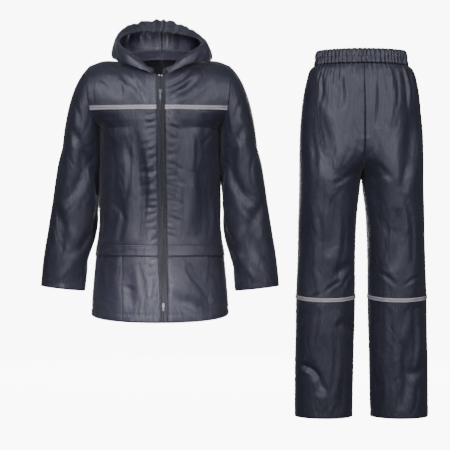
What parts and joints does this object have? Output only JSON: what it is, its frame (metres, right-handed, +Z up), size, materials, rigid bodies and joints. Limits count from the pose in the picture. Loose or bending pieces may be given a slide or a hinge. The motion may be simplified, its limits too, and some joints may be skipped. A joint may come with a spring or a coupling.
{
  "type": "rain suit",
  "caption": "Two-piece rain suit in coated cloth: hooded zip jacket with waist band and reflective braid, and trousers with an elastic waist.",
  "frame": {"origin": "between the jacket's shoulders at the base of the neck, at mid depth, where the wearer's shoulders carry it", "axes": "+Z up, +X to the viewer's right, from the jacket to the trousers, -Y towards the viewer, who faces the fronts"},
  "size_m": [1.102, 0.2762, 1.1424],
  "materials": {
    "shell_cloth": "coated nylon taffeta with a satin sheen",
    "mesh_lining": "knitted mesh",
    "reflective_braid": "reflective woven braid with a sewn middle line",
    "zip_tape": "woven tape",
    "zip_coil": "spiral coil",
    "zip_metal": "nickel plated"
  },
  "bodies": {
    "suit": {"front_left": "shell_cloth", "front_right": "shell_cloth", "back": "shell_cloth", "skirt_front_left": "shell_cloth", "skirt_front_right": "shell_cloth", "skirt_side_left": "shell_cloth", "skirt_side_right": "shell_cloth", "skirt_back": "shell_cloth", "waist_band_left": "shell_cloth", "waist_band_right": "shell_cloth", "waist_band_back": "shell_cloth", "sleeve_left": "shell_cloth", "sleeve_right": "shell_cloth", "hood_left": "shell_cloth", "hood_right": "shell_cloth", "leg_front_left": "shell_cloth", "leg_front_right": "shell_cloth", "leg_back_left": "shell_cloth", "leg_back_right": "shell_cloth", "waistband": "shell_cloth", "lining_back": "mesh_lining", "braid_chest_left": "reflective_braid", "braid_chest_right": "reflective_braid", "braid_knee_left": "reflective_braid", "braid_knee_right": "reflective_braid", "zip_tape_left": "zip_tape", "zip_tape_right": "zip_tape", "zip_coil": "zip_coil", "zip_slider_top": "zip_metal", "zip_slider_bottom": "zip_metal"},
    "pull_top": {"zip_pull_top": "zip_metal"},
    "pull_bottom": {"zip_pull_bottom": "zip_metal"}
  },
  "joints": [
    {"name": "pull_top_swing", "type": "hinge", "parent": "suit", "child": "pull_top", "pos_m": [0.00674, -0.1316, -0.1], "axis": [-1, 0, 0], "range_deg": [0, 150]},
    {"name": "pull_bottom_swing", "type": "hinge", "parent": "suit", "child": "pull_bottom", "pos_m": [0.01533, -0.14546, -0.688], "axis": [-1, 0, 0], "range_deg": [0, 150]}
  ]
}
